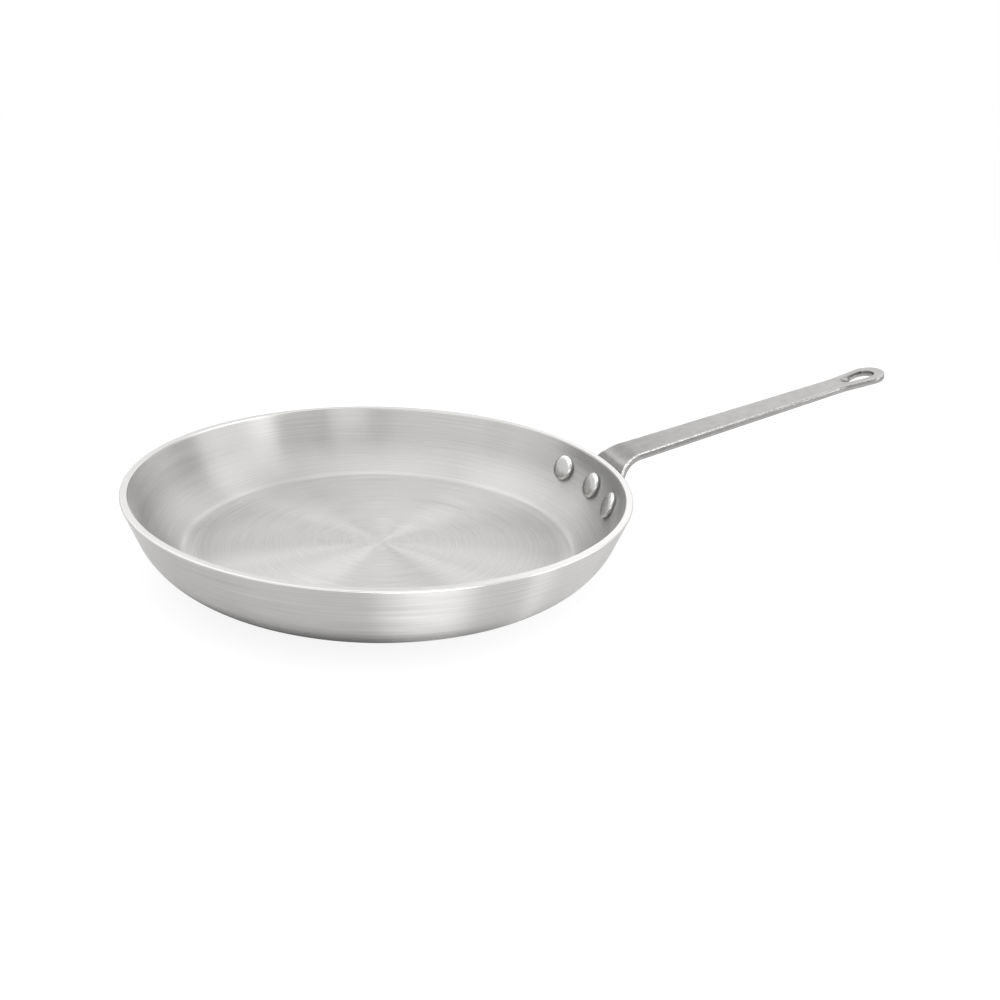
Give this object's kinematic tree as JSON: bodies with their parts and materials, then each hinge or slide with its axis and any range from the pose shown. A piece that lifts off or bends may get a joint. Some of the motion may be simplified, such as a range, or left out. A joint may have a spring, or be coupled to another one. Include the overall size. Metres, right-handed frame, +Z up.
{
  "type": "omelette pan",
  "caption": "Flat-based round omelette pan in thick bare aluminium with a low flaring wall and a long rising strap handle, riveted on by a curved flange and ending in a hanging loop.",
  "frame": {"origin": "centre of the pan's flat underside, on its axis", "axes": "+Z up along the pan's axis, +X out from the axis along the handle, +Y to the left of someone who holds the handle and looks along +X from the pan"},
  "size_m": [0.4698, 0.2792, 0.0959],
  "materials": {
    "pan_aluminium": "bare, turned to a fine circular grain inside and out, with a bright rubbed rim",
    "handle_plating": "forged and bright plated, satin on the flats with a slight hammered waviness and worn shiny edges",
    "rivet_aluminium": "smooth and shiny, as upset by the press"
  },
  "bodies": {
    "root": {"pan_body": "pan_aluminium", "handle": "handle_plating", "rivet_left": "rivet_aluminium", "rivet_middle": "rivet_aluminium", "rivet_right": "rivet_aluminium"}
  },
  "joints": []
}
